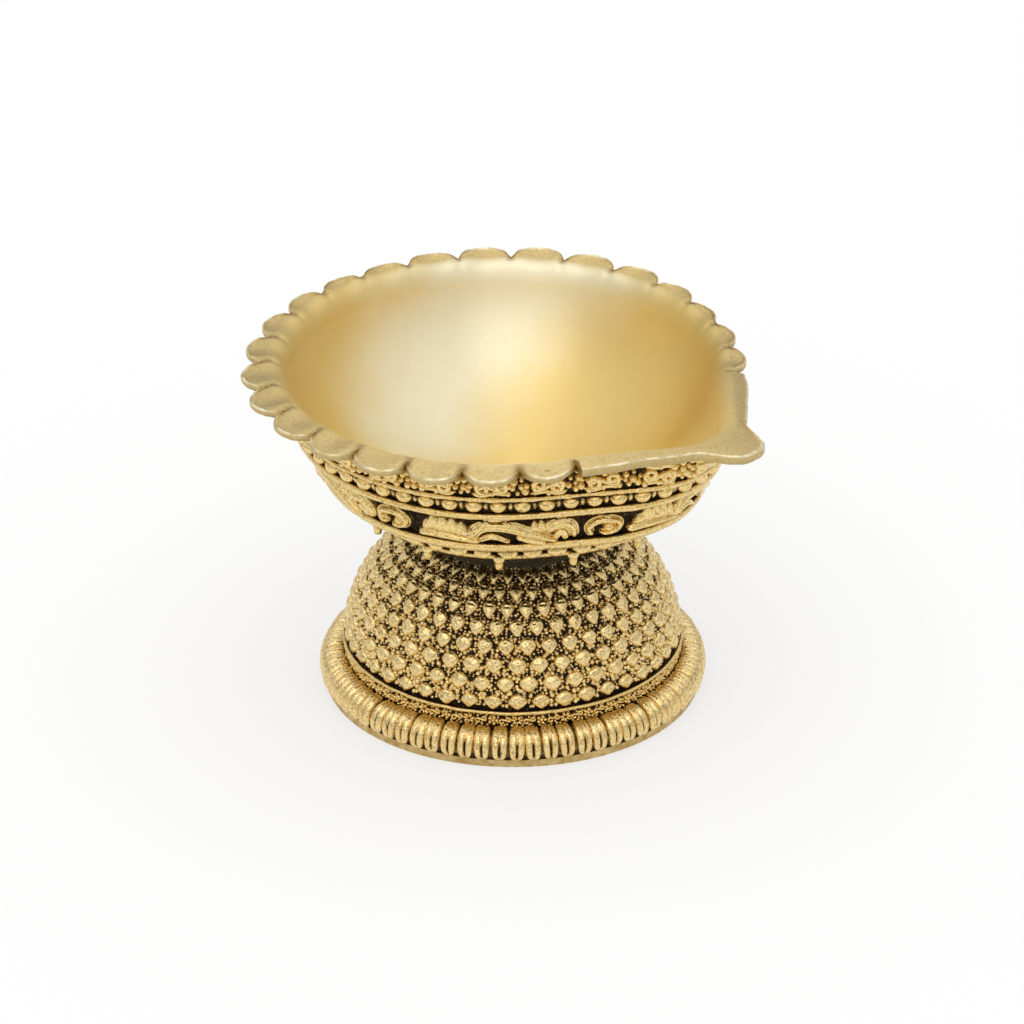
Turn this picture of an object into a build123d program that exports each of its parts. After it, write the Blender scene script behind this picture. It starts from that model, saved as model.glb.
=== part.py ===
from build123d import *
import math
import os

# Leaf-shaped oil lamp on a studded domed foot.
# Millimetres. The origin is the centre of the foot's underside, +Z is up and +X points along the spout.
# Heights and radii are given band by band, so that each band carries all that stands above it.

# Plan of the bowl
bowl_axis_x = -3.0          # centre of the round back, behind the foot's axis
spout_half_angle = 50.0     # angle between the spout's axis and each flank
spout_corner_at_rim = 10.5  # radius of the spout's rounded corner on the bowl's wall
spout_corner_below = 20.0   # the same from the bead band down, where the spout is blunter

# Heights of the bowl's bands, from the neck up
neck_height = 3.1
underside_rise = 5.0
taper_band = 4.4
scroll_band = 5.4
ledge_height = 0.5
bead_band = 4.3
filigree_band = 4.7
rim_thickness = 2.0
floor_thickness = 4.6

# How far the wall stands from the round back's centre, and how much wider each band makes it
wall_at_collar = 25.2
taper_flare = 5.1
scroll_flare = 1.6
ledge_flare = 1.3
bead_flare = 1.4
filigree_flare = 1.0
underside_steps = 4
floor_roundness = 0.9       # how nearly round the sections are near the foot

# Inside of the bowl
rim_wall = 1.6              # wall left at the rim
cavity_floor_radius = 9.0
corner_wall = 2.0           # how much tighter the spout's corner is inside
cavity_sections = 8
mouth_flare = 2.2           # the rim's inner edge rolls out by this much
flare_depth = 1.8
flare_sections = 5

# Rim
rim_overhang = 1.6          # from the wall to the plate's edge at the notches
lobe_projection = 3.1       # from the notches to the lobes' outermost points
lobe_radius = 4.45
lobe_count = 22
lobe_arc = 296.0            # part of the round back that carries lobes
lobe_droop = 7.0            # tilt of each lobe, in degrees
lobe_thickness = 1.7
lobe_round = 0.8
lobe_taper = 1.5            # how much nearer the lobes beside the spout stand
taper_end = 95.0            # angle from the spout's axis where that begins
flank_overhang = 1.1        # from the plate's edge to the plain flanks' edge
nose_root = 5.755           # from the flank's end to the plate's corner
nose_shoulder = 4.6         # from the flank's end to the waist
nose_length = 6.8
nose_waist_half_width = 6.0
nose_half_width = 2.7
flank_bend = 8.0            # radii of the bends along the spout's edge
waist_bend = 4.0
nose_bend = 3.6
rim_edge_round = 0.5

# Wires and beads on the bowl
seat_gap = 0.02             # room between an applied piece and the wall that it lies on
upper_wire_radius = 0.45
middle_wire_radius = 0.6
middle_wire_lift = 0.05     # from the band's edge to the wire's underside
lower_wire_radius = 0.65
lower_wire_drop = 0.1       # from the scroll band's lower edge to the wire's middle
collar_wire_radius = 0.6
collar_wire_lift = 0.3
bead_count = 58
bead_length = 2.65
bead_clearance = 0.1        # between a bead and the wires above and below it
bead_proud = 0.95
bead_round = 0.7
bead_phase = 0.48           # where a row starts, as a share of its pitch

# Filigree under the rim
floret_count = 26
floret_petals = 6
floret_petal_radius = 0.55
floret_ring_radius = 0.95
filigree_proud = 0.8
filigree_clearance = 0.2    # between the florets and the wire below them
filigree_phase = 0.5
curl_radius = 0.95
curl_stroke = 0.6
curl_spacing = 2.3          # distance between the two curls of one scroll
curl_turn = 270.0           # angle that each curl covers

# Wide scroll band
scroll_count = 12
scroll_phase = 1.57
scroll_proud = 1.1
scroll_margin = 0.2         # left free above and below the scrolls
volute_stroke = 0.95
volute_opening = 70.0       # angle left open in each volute
boss_radius = 0.8
acanthus_length = 8.4
acanthus_teeth = 3
tooth_notch = 0.4           # depth of the notch beside a tooth, as a share of the tooth's rise
tooth_peak = 0.45           # place of a tooth's highest point along it

# Pegs under the collar wire
peg_count = 14
peg_radius = 0.65
peg_length = 0.9
peg_head_radius = 0.9
peg_head_height = 0.5
peg_phase = 0.33

# Neck and its fixing
neck_radius = 10.2
neck_waist_radius = 9.4
screw_radius = 2.0
screw_clearance = 0.1
screw_engagement = 3.0
screw_head_radius = 3.6
screw_head_height = 2.4
washer_radius = 6.0
washer_thickness = 1.0

# Foot
dome_radius = 19.8          # the dome's section is one arc of this radius
dome_centre_radius = 6.3
dome_centre_height = 8.0
dome_top_angle = 69.12      # where the flat top cuts off the arc
foot_wall = 2.2
skirt_step = 0.5            # the straight skirt stands out from the dome by this much
skirt_step_fall = 0.1
stud_rows = 8
studs_per_row = 44
stud_first_angle = 4.6      # places of the lowest row on the dome's arc, and of the highest below its top
stud_top_margin = 4.81
stud_share = 0.70           # stud width as a share of the pitch in its row
stud_height = 2.35
stud_proud = 0.85
stud_side_taper = 24.0
stud_head_taper = 56.0
stud_shoulder = 0.5         # share of the stud's height below its shoulder
stud_head_share = 0.72      # width of the head as a share of the stud's

# Foot ring, base plate and trim
base_thickness = 1.2
base_reach = 2.0            # from the ring's middle to the plate's edge
ring_offset = 1.3           # from the skirt to the ring's middle
ring_lift = 1.7             # from the base plate to the ring's middle
ring_core_radius = 2.2
loop_thickness = 0.5
loop_count = 70
loop_share = 0.76           # loop width as a share of the pitch
slit_share = 0.16           # width of the slit that parts a loop into two strands
slit_bottom = 1.0           # what the slit leaves of the loop at its foot
slit_height = 1.9
foot_wire_radius = 0.38
foot_floret_count = 44
foot_floret_petals = 5
foot_floret_petal_radius = 0.3
foot_floret_ring_radius = 0.4
foot_floret_proud = 0.35

# Heights that follow
dome_top = dome_centre_height + dome_radius * math.sin(math.radians(dome_top_angle))
bowl_bottom = dome_top + neck_height
cavity_floor = bowl_bottom + floor_thickness
collar_height = bowl_bottom + underside_rise
scroll_band_bottom = collar_height + taper_band
scroll_band_top = scroll_band_bottom + scroll_band
bead_band_bottom = scroll_band_top + ledge_height
filigree_bottom = bead_band_bottom + bead_band
rim_bottom = filigree_bottom + filigree_band
rim_top = rim_bottom + rim_thickness
upper_wire_height = filigree_bottom - upper_wire_radius
middle_wire_height = bead_band_bottom + middle_wire_lift + middle_wire_radius
lower_wire_height = scroll_band_bottom - lower_wire_drop
collar_wire_height = collar_height + collar_wire_lift
skirt_top = dome_centre_height - skirt_step_fall
ring_centre_height = base_thickness + ring_lift

# Radii that follow
wall_at_scroll_bottom = wall_at_collar + taper_flare
wall_at_scroll_top = wall_at_scroll_bottom + scroll_flare
wall_at_beads = wall_at_scroll_top + ledge_flare
wall_at_filigree = wall_at_beads + bead_flare
wall_at_rim = wall_at_filigree + filigree_flare
mouth_radius = wall_at_rim - rim_wall
rim_edge_radius = wall_at_rim + rim_overhang
rim_reach = rim_edge_radius + lobe_projection
flank_radius = rim_edge_radius + flank_overhang
skirt_radius = dome_centre_radius + dome_radius + skirt_step
ring_centre_radius = skirt_radius + ring_offset
base_radius = ring_centre_radius + base_reach

# Sizes of what fills a band
bead_space = upper_wire_height - upper_wire_radius - middle_wire_height - middle_wire_radius
bead_row_height = middle_wire_height + middle_wire_radius + bead_space / 2
bead_height = bead_space - 2 * bead_clearance
filigree_row_height = filigree_bottom + filigree_clearance + floret_ring_radius + floret_petal_radius
scroll_space = scroll_band_top - lower_wire_height - lower_wire_radius
scroll_row_height = scroll_band_top - scroll_space / 2
volute_radius = scroll_space / 2 - scroll_margin - volute_stroke / 2
acanthus_height = scroll_space - 2 * scroll_margin
stud_row_step = (dome_top_angle - stud_top_margin - stud_first_angle) / (stud_rows - 1)


def leaf(radius, corner, height, centre=bowl_axis_x):
    """Leaf outline, anticlockwise: a round back, two flanks tangent to it and a rounded spout corner."""
    across = math.sin(math.radians(spout_half_angle))
    along = math.cos(math.radians(spout_half_angle))
    corner_centre = centre + (radius - corner) / across
    back_x = centre + radius * across
    back_y = radius * along
    corner_x = corner_centre + corner * across
    corner_y = corner * along
    edges = [
        ThreePointArc((back_x, back_y), (centre - radius, 0), (back_x, -back_y)),
        Line((back_x, -back_y), (corner_x, -corner_y)),
        ThreePointArc((corner_x, -corner_y), (corner_centre + corner, 0), (corner_x, corner_y)),
        Line((corner_x, corner_y), (back_x, back_y)),
    ]
    return Pos(0, 0, height) * Wire(edges)


def wall_levels():
    """Height, radius and spout corner of the bowl's wall at each edge of its bands, from the collar up."""
    rise = (filigree_bottom - bead_band_bottom) / (rim_bottom - bead_band_bottom)
    corner_at_filigree = spout_corner_below + (spout_corner_at_rim - spout_corner_below) * rise
    return [
        (collar_height, wall_at_collar, spout_corner_below),
        (scroll_band_bottom, wall_at_scroll_bottom, spout_corner_below),
        (scroll_band_top, wall_at_scroll_top, spout_corner_below),
        (bead_band_bottom, wall_at_beads, spout_corner_below),
        (filigree_bottom, wall_at_filigree, corner_at_filigree),
        (rim_bottom, wall_at_rim, spout_corner_at_rim),
    ]


def wall_at(height):
    """Radius and corner of the wall at a height, and how fast each grows upwards there."""
    levels = wall_levels()
    for below, above in zip(levels, levels[1:]):
        if height <= above[0]:
            break
    step = above[0] - below[0]
    growth = (above[1] - below[1]) / step
    corner_growth = (above[2] - below[2]) / step
    radius = below[1] + growth * (height - below[0])
    corner = below[2] + corner_growth * (height - below[0])
    return radius, corner, growth, corner_growth


def lean(growth, corner_growth, facing):
    """Outward lean of the wall: as its radius grows on the back, and more round the spout's corner."""
    across = math.sin(math.radians(spout_half_angle))
    return (growth - corner_growth) * max(facing, across) / across + corner_growth


def stations(height, count, phase):
    """Evenly spaced places on the wall at a height: planes that face outwards with Y upwards."""
    radius, corner, growth, corner_growth = wall_at(height)
    outline = leaf(radius, corner, height)
    planes = []
    for index in range(count):
        reach = outline.length * ((index + phase) % count) / count
        place = outline.position_at(reach, PositionMode.LENGTH)
        along = outline.tangent_at(reach, PositionMode.LENGTH)
        outward = Vector(along.Y, -along.X, 0)
        normal = (outward - Vector(0, 0, lean(growth, corner_growth, outward.X))).normalized()
        planes.append(Plane(place + normal * seat_gap, x_dir=along, z_dir=normal))
    return planes


def wire_path(wire_radius, height):
    """Middle line of a wire that lies on the wall, clear of it where it leans out most."""
    radius, corner, growth, corner_growth = wall_at(height)
    reach = (wire_radius + seat_gap) * math.hypot(1, lean(growth, corner_growth, 1))
    return leaf(radius + reach, corner + reach, height)


def repeated(piece, planes):
    return Compound([plane.location * piece for plane in planes])


def wire_round_bowl(wire_radius, height):
    path = wire_path(wire_radius, height)
    start = Plane(path.position_at(0), z_dir=path.tangent_at(0))
    return sweep(start * Circle(wire_radius), path)


def inner_corner(radius, height):
    """Spout corner inside the bowl, a wall tighter than outside and never as round as the back."""
    corner = wall_at(max(height, collar_height))[1]
    return min(corner - corner_wall, floor_roundness * radius)


def cavity():
    """The space inside the bowl: leaf sections along a quarter ellipse, carried on above the rim."""
    depth = rim_top - cavity_floor
    sections = []
    for index in range(cavity_sections):
        turn = math.radians(90 * index / (cavity_sections - 1))
        radius = cavity_floor_radius + (mouth_radius - cavity_floor_radius) * math.sin(turn)
        height = rim_top - depth * math.cos(turn)
        sections.append(leaf(radius, inner_corner(radius, height), height, bowl_axis_x * math.sin(turn)))
    body = Solid.make_loft(sections)
    return body + Solid.extrude(Face(sections[-1]), Vector(0, 0, rim_thickness))


def mouth_roll():
    """Cutter that rolls the rim's inner edge outwards along a quarter ellipse, carried on above the rim."""
    corner = inner_corner(mouth_radius, rim_top)
    sections = []
    for index in range(flare_sections):
        turn = math.radians(90 * index / (flare_sections - 1))
        flare = mouth_flare * (1 - math.cos(turn))
        height = rim_top - flare_depth * (1 - math.sin(turn))
        sections.append(leaf(mouth_radius + flare, corner + flare, height))
    body = Solid.make_loft(sections, ruled=True)
    return body + Solid.extrude(Face(sections[-1]), Vector(0, 0, rim_thickness))


def bowl_shell():
    """Cup of leaf sections, stepped for its bands, with a boss that takes the fixing screw."""
    sections = []
    for index in range(underside_steps):
        turn = math.radians(90 * index / underside_steps)
        share = math.sin(turn)
        radius = neck_radius + (wall_at_collar - neck_radius) * share
        corner = min(spout_corner_below, floor_roundness * radius)
        height = bowl_bottom + underside_rise * (1 - math.cos(turn))
        sections.append(leaf(radius, corner, height, bowl_axis_x * share))
    for height, radius, corner in wall_levels():
        sections.append(leaf(radius, corner, height))
    outside = Solid.make_loft(sections, ruled=True)
    screw_hole = Pos(0, 0, bowl_bottom) * Cylinder(
        screw_radius + screw_clearance, screw_engagement + screw_clearance,
        align=(Align.CENTER, Align.CENTER, Align.MIN))
    return outside - cavity() - screw_hole


def rim_lobe(reach):
    """One rounded lobe, a disc with a softened upper edge that tips down outwards."""
    disc = Cylinder(lobe_radius, lobe_thickness, align=(Align.CENTER, Align.CENTER, Align.MAX))
    disc = fillet(disc.edges().group_by(Axis.Z)[-1], lobe_round)
    tipped = Rot(0, lobe_droop, 0) * disc
    return Pos(reach - lobe_radius, 0, rim_top) * tipped


def spout_plate():
    """Plain flanks and the nose that carries the wick, one plate with a softened upper edge."""
    across = math.sin(math.radians(spout_half_angle))
    along = math.cos(math.radians(spout_half_angle))
    first_notch = math.radians(180 - lobe_arc / 2)
    reach = flank_radius / math.cos(math.radians(90 - spout_half_angle) - first_notch)
    start = (bowl_axis_x + reach * math.cos(first_notch), reach * math.sin(first_notch))
    plate_corner = bowl_axis_x + (rim_edge_radius - spout_corner_at_rim) / across + spout_corner_at_rim
    end_x = plate_corner - nose_root
    waist_x = end_x + nose_shoulder
    flank_end = (end_x, (flank_radius - (end_x - bowl_axis_x) * across) / along)
    half = [start, flank_end, (waist_x, nose_waist_half_width), (waist_x + nose_length, nose_half_width)]
    bends = [flank_bend, waist_bend, nose_bend]
    outline = FilletPolyline([(x, -y) for x, y in half] + half[::-1], radius=bends + bends[::-1])
    edges = [
        Line((bowl_axis_x, 0), outline @ 0),
        *outline.edges(),
        Line(outline @ 1, (bowl_axis_x, 0)),
    ]
    plate = extrude(make_face(edges), rim_thickness)
    outer = [edge for edge in plate.edges().group_by(Axis.Z)[-1]
             if edge.center().X > start[0]]
    return Pos(0, 0, rim_bottom) * fillet(outer, rim_edge_round)


def scalloped_rim():
    """Leaf-shaped plate with a row of lobes round its back, drawn in beside the spout, and a nose."""
    outline = leaf(rim_edge_radius, spout_corner_at_rim, rim_bottom)
    plate = Solid.extrude(Face(outline), Vector(0, 0, rim_thickness))
    rim = plate + spout_plate()
    pitch = lobe_arc / lobe_count
    first_notch = 180 - lobe_arc / 2
    for index in range(lobe_count):
        angle = first_notch + pitch * (index + 0.5)
        from_spout = min(angle, 360 - angle)
        drawn_in = lobe_taper * max(0, (taper_end - from_spout) / (taper_end - first_notch))
        rim += Pos(bowl_axis_x, 0, 0) * Rot(0, 0, angle) * rim_lobe(rim_reach - drawn_in)
    return rim - cavity() - mouth_roll()


def floret(petals, petal_radius, ring_radius, proud):
    """Flat floret: round petals about a round heart."""
    outline = Circle(ring_radius)
    for index in range(petals):
        outline += Rot(0, 0, 360 * index / petals) * Pos(ring_radius, 0) * Circle(petal_radius)
    return extrude(outline, proud)


def rim_scroll():
    """S-shaped scroll: two open curls joined by a straight bar."""
    half = curl_spacing / 2
    upper = CenterArc((half, 0), curl_radius, -90, curl_turn)
    lower = CenterArc((-half, 0), curl_radius, 90, curl_turn)
    bar = Line((half, -curl_radius), (-half, curl_radius))
    outline = trace(upper, curl_stroke) + trace(lower, curl_stroke) + trace(bar, curl_stroke)
    return extrude(outline, filigree_proud)


def oval_bead():
    """Oblong bead with a rounded top, its long way along the row."""
    block = extrude(SlotOverall(bead_length, bead_height), bead_proud)
    return fillet(block.edges().group_by(Axis.Z)[-1], bead_round)


def volute():
    """C-shaped volute and its boss."""
    ring = CenterArc((0, 0), volute_radius, volute_opening / 2, 360 - volute_opening)
    curl = extrude(trace(ring, volute_stroke), scroll_proud)
    boss = extrude(Circle(boss_radius), scroll_proud)
    return Compound([Solid(curl.wrapped), Solid(boss.wrapped)])


def acanthus_leaf():
    """Leaf tail: a straight keel below, and rounded teeth above that grow towards the tip's far end."""
    tooth = acanthus_length / acanthus_teeth
    start = (-acanthus_length / 2, -acanthus_height / 2)
    edges = [Line(start, (acanthus_length / 2, -acanthus_height / 2))]
    point = edges[0] @ 1
    for index in range(acanthus_teeth):
        rise = acanthus_height * (index + 1) / acanthus_teeth
        right = acanthus_length / 2 - tooth * index
        left = right - tooth
        top = -acanthus_height / 2 + rise
        foot = top - acanthus_height / acanthus_teeth * tooth_notch
        if index == acanthus_teeth - 1:
            foot = -acanthus_height / 2
        edges.append(ThreePointArc((point.X, point.Y), (right - tooth * tooth_peak, top), (left, foot)))
        point = edges[-1] @ 1
    return extrude(make_face(edges), scroll_proud)


def collar_pegs():
    """Short pegs with a wider head that hang from the collar wire."""
    path = wire_path(collar_wire_radius, collar_wire_height)
    drop = collar_wire_radius + seat_gap
    head = Cylinder(peg_head_radius, peg_head_height, align=(Align.CENTER, Align.CENTER, Align.MAX))
    shaft = Cylinder(peg_radius, peg_length, align=(Align.CENTER, Align.CENTER, Align.MAX))
    peg = head + Pos(0, 0, -peg_head_height) * shaft
    pegs = []
    for index in range(peg_count):
        place = path.position_at(path.length * (index + peg_phase) / peg_count, PositionMode.LENGTH)
        pegs.append(Pos(place.X, place.Y, place.Z - drop) * peg)
    return Compound([Solid(peg.wrapped) for peg in pegs])


def neck_collar():
    """Waisted ring between the dome's top and the bowl."""
    waist_height = (dome_top + bowl_bottom) / 2
    bore = screw_radius + screw_clearance
    profile = make_face([
        Line((bore, dome_top), (neck_radius, dome_top)),
        ThreePointArc((neck_radius, dome_top), (neck_waist_radius, waist_height),
                      (neck_radius, bowl_bottom)),
        Line((neck_radius, bowl_bottom), (bore, bowl_bottom)),
        Line((bore, bowl_bottom), (bore, dome_top)),
    ])
    return revolve(Plane.XZ * profile, Axis.Z)


def fixing_washer():
    ring = Circle(washer_radius) - Circle(screw_radius + screw_clearance)
    return Pos(0, 0, dome_top - foot_wall - washer_thickness) * extrude(ring, washer_thickness)


def fixing_screw():
    """Screw with a low round head, from the hollow of the foot up into the bowl's boss."""
    head_top = dome_top - foot_wall - washer_thickness
    head = Pos(0, 0, head_top) * Cylinder(screw_head_radius, screw_head_height,
                                          align=(Align.CENTER, Align.CENTER, Align.MAX))
    shank = Pos(0, 0, head_top) * Cylinder(screw_radius, bowl_bottom + screw_engagement - head_top,
                                           align=(Align.CENTER, Align.CENTER, Align.MIN))
    return head + shank


def dome_point(radius, height):
    """Point of a dome section of the given arc radius at a height."""
    rise = height - dome_centre_height
    return (dome_centre_radius + math.sqrt(radius * radius - rise * rise), height)


def foot_shell():
    """Hollow dome on a straight skirt, open below."""
    inner_radius = dome_radius - foot_wall
    inner_top = dome_top - foot_wall
    bore = screw_radius + screw_clearance
    middle = (dome_top + dome_centre_height) / 2
    outer_foot = (dome_centre_radius + dome_radius, dome_centre_height)
    inner_foot = (dome_centre_radius + inner_radius, dome_centre_height)
    outer_top = dome_point(dome_radius, dome_top)
    inner_top_edge = dome_point(inner_radius, inner_top)
    edges = [
        Line((bore, inner_top), (bore, dome_top)),
        Line((bore, dome_top), outer_top),
        ThreePointArc(outer_top, dome_point(dome_radius, middle), outer_foot),
        Line(outer_foot, (skirt_radius, skirt_top)),
        Line((skirt_radius, skirt_top), (skirt_radius, base_thickness)),
        Line((skirt_radius, base_thickness), (inner_foot[0], base_thickness)),
        Line((inner_foot[0], base_thickness), inner_foot),
        ThreePointArc(inner_foot, dome_point(inner_radius, middle - foot_wall / 2), inner_top_edge),
        Line(inner_top_edge, (bore, inner_top)),
    ]
    return revolve(Plane.XZ * make_face(edges), Axis.Z)


def stud(width):
    """Diamond stud: steep sides up to a shoulder, then a blunt head."""
    def diamond(share):
        across = width / 2 * share
        up = stud_height / 2 * share
        return make_face(Polyline((across, 0), (0, up), (-across, 0), (0, -up), close=True))
    shoulder = stud_proud * stud_shoulder
    sides = extrude(diamond(1), shoulder, taper=stud_side_taper)
    cap = Pos(0, 0, shoulder) * diamond(stud_head_share)
    return sides + extrude(cap, stud_proud - shoulder, taper=stud_head_taper)


def stud_row(row):
    """One ring of studs on the dome, half a pitch on from the row below it."""
    rise = math.radians(stud_first_angle + stud_row_step * row)
    radius = dome_centre_radius + dome_radius * math.cos(rise)
    height = dome_centre_height + dome_radius * math.sin(rise)
    pitch = 2 * math.pi * radius / studs_per_row
    normal = Vector(math.cos(rise), 0, math.sin(rise))
    place = Plane(Vector(radius, 0, height) + normal * seat_gap, x_dir=(0, 1, 0), z_dir=normal)
    piece = place.location * stud(pitch * stud_share)
    step = 360 / studs_per_row
    start = step / 2 * (row % 2)
    return Compound([Rot(0, 0, start + step * index) * piece for index in range(studs_per_row)])


def foot_wire():
    centre = skirt_radius + foot_wire_radius + seat_gap
    ring = Pos(centre, skirt_top) * Circle(foot_wire_radius)
    return revolve(Plane.XZ * ring, Axis.Z)


def foot_florets():
    """Small florets in the recess between the foot wire and the foot ring."""
    flower = floret(foot_floret_petals, foot_floret_petal_radius,
                    foot_floret_ring_radius, foot_floret_proud)
    ring_top = ring_centre_height + ring_core_radius + loop_thickness
    height = (ring_top + skirt_top - foot_wire_radius) / 2
    place = Plane((skirt_radius + seat_gap, 0, height), x_dir=(0, 1, 0), z_dir=(1, 0, 0))
    piece = place.location * flower
    step = 360 / foot_floret_count
    return Compound([Rot(0, 0, step * index) * piece for index in range(foot_floret_count)])


def ring_section(radius):
    """Round section of the foot ring, cut off at the skirt and at the base plate."""
    disc = Pos(ring_centre_radius, ring_centre_height) * Circle(radius)
    side = 4 * radius
    window = Rectangle(side, side, align=(Align.MIN, Align.MIN))
    return disc & Pos(skirt_radius + seat_gap, base_thickness) * window


def foot_ring_core():
    return revolve(Plane.XZ * ring_section(ring_core_radius), Axis.Z)


def foot_ring_loops():
    """Loops laid over the core, each a short turn of the ring's skin, slit low down into two strands."""
    inner_radius = ring_core_radius + seat_gap
    outer_radius = inner_radius + loop_thickness
    skin = ring_section(outer_radius) - ring_section(inner_radius)
    slit_low = base_thickness + slit_bottom
    window = Pos(ring_centre_radius, slit_low) * Rectangle(
        outer_radius, slit_height, align=(Align.MIN, Align.MIN))
    pitch = 360 / loop_count
    loop = revolve(Plane.XZ * skin, Axis.Z, pitch * loop_share)
    slit = revolve(Plane.XZ * (skin & window), Axis.Z, pitch * slit_share)
    loop -= Rot(0, 0, pitch * (loop_share - slit_share) / 2) * slit
    return Compound([Rot(0, 0, pitch * index) * loop for index in range(loop_count)])


def base_plate():
    return Cylinder(base_radius, base_thickness, align=(Align.CENTER, Align.CENTER, Align.MIN))


def main():
    os.makedirs("parts", exist_ok=True)
    filigree = stations(filigree_row_height, 2 * floret_count, filigree_phase)
    scrolls = stations(scroll_row_height, 2 * scroll_count, scroll_phase)
    pieces = {
        "scalloped_rim": scalloped_rim(),
        "bowl_shell": bowl_shell(),
        "rim_florets": repeated(
            floret(floret_petals, floret_petal_radius, floret_ring_radius, filigree_proud), filigree[::2]),
        "rim_scrolls": repeated(rim_scroll(), filigree[1::2]),
        "upper_wire": wire_round_bowl(upper_wire_radius, upper_wire_height),
        "oval_beads": repeated(oval_bead(), stations(bead_row_height, bead_count, bead_phase)),
        "middle_wire": wire_round_bowl(middle_wire_radius, middle_wire_height),
        "scroll_volutes": repeated(volute(), scrolls[::2]),
        "acanthus_leaves": repeated(acanthus_leaf(), scrolls[1::2]),
        "lower_wire": wire_round_bowl(lower_wire_radius, lower_wire_height),
        "collar_wire": wire_round_bowl(collar_wire_radius, collar_wire_height),
        "collar_pegs": collar_pegs(),
        "neck_collar": neck_collar(),
        "fixing_screw": fixing_screw(),
        "fixing_washer": fixing_washer(),
        "foot_shell": foot_shell(),
        "foot_wire": foot_wire(),
        "foot_florets": foot_florets(),
        "foot_ring_loops": foot_ring_loops(),
        "foot_ring_core": foot_ring_core(),
        "base_plate": base_plate(),
    }
    for row in range(stud_rows):
        pieces[f"stud_row_{row + 1}"] = stud_row(row)
    for name, piece in pieces.items():
        export_step(piece, f"parts/{name}.step")


main()
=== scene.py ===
import math

import bmesh
import bpy
import numpy as np
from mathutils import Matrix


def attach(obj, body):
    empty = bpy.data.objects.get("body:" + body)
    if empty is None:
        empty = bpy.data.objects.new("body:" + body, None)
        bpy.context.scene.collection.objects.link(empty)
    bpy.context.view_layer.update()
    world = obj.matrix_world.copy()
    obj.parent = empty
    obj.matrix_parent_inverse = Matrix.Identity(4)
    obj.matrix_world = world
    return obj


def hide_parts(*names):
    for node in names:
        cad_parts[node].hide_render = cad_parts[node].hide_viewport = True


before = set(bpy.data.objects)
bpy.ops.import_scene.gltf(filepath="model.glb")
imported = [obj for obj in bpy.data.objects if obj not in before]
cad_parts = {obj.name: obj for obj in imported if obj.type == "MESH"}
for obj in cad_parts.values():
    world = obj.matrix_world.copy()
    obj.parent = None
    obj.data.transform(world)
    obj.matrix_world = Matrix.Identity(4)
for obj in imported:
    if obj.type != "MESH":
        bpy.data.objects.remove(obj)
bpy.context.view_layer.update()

# Sizes in millimetres, most of them as in the part
MM = 0.001
BOWL_X = -3.0
HALF_SPOUT = math.radians(50)
SLOPE = math.pi / 2 - HALF_SPOUT
OUTLINE_TURNS = np.linspace(SLOPE, SLOPE + 2 * np.pi, 1441)
RIM_TOP, RIM_BOTTOM, MOUTH_LOW = 55.9, 53.9, 52.0
COLLAR, BOWL_BOTTOM, CUP_FLOOR = 34.6, 29.6, 34.2
BAND_EDGES = np.array([34.6, 39.0, 44.4, 44.9, 49.2, 53.9])
BAND_RADII = np.array([25.2, 30.3, 31.9, 33.2, 34.6, 35.6])
BAND_CORNERS = np.array([20.0, 20.0, 20.0, 20.0, 15.46, 10.5])
MOUTH, CUP_FLOOR_RADIUS, NECK, WALL_LEAN = 34.0, 9.0, 10.2, 1.5
LOBES, LOBE_ARC, LOBE_RADIUS, NOTCH, FLANK = 22, math.radians(296), 4.4, 36.8, 38.3
LOBE_START = math.pi - LOBE_ARC / 2
FLANK_END, WAIST, NOSE = 36.6, (41.2, 6.0), (48.0, 2.7)
DOME_RADIUS, DOME_X, DOME_Z = 19.8, 6.3, 8.0
STUD_ROWS, STUDS, FIRST_RISE, RISE_STEP = 8, 44, math.radians(4.6), math.radians(8.53)
SKIRT, RING_X, RING_Z, RING_RADIUS, LOOPS = 26.6, 27.9, 2.9, 2.2, 70

# Unevenness of the casting: the reach of the lobes by angle, the side where the rim is lower, and the side where the
# wall is drawn in, by height
LOBE_TURNS = np.radians([32, 62, 95, 117, 140, 163, 182, 211, 242, 290, 328])
LOBE_REACHES = np.array([39.0, 37.7, 40.0, 40.6, 39.8, 38.2, 38.6, 39.6, 40.7, 40.4, 39.4])
LOW_SIDE, LOW_BY = math.radians(-50.6), 0.7
DRAWN_SIDE, DRAWN_HEIGHTS, DRAWN_IN = math.radians(219.4), [34.6, 44.0, 50.0, 53.9], [2.5, 1.9, 1.3, 0.6]

# Chance in the sizes and places of repeats; lumps() draws from seeds of its own
rng = np.random.default_rng(11)


def lumps(turn, seed, size=1.0):
    """Slow unevenness of hand work: four sine waves in whole turns, with phases drawn from a seed."""
    phases = np.random.default_rng(seed).uniform(0, 2 * np.pi, 4)
    waves = np.array([5, 11, 23, 41])
    return size * np.sin(np.multiply.outer(turn, waves) + phases).sum(-1) / 4


def smooth(points, count):
    """Curve through a few points: a Catmull-Rom spline, sampled evenly in its parameter."""
    p = np.array(points, float)
    p = np.vstack([2 * p[0] - p[1], p, 2 * p[-1] - p[-2]])
    t = np.linspace(0, len(p) - 3 - 1e-9, count)
    k = t.astype(int)
    f = (t - k)[:, None]
    a, b, c, d = p[k], p[k + 1], p[k + 2], p[k + 3]
    square, cube = 2 * a - 5 * b + 4 * c - d, 3 * b - a - 3 * c + d
    return 0.5 * (2 * b + (c - a) * f + square * f ** 2 + cube * f ** 3)


def ease(low, high, x):
    """Smooth step from 0 at low to 1 at high: 3t^2 - 2t^3."""
    t = np.clip((x - low) / (high - low), 0, 1)
    return t * t * (3 - 2 * t)


def from_spout(angle):
    """Angle away from the spout to either side, from 0 to pi."""
    return np.abs((angle + np.pi) % (2 * np.pi) - np.pi)


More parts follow.
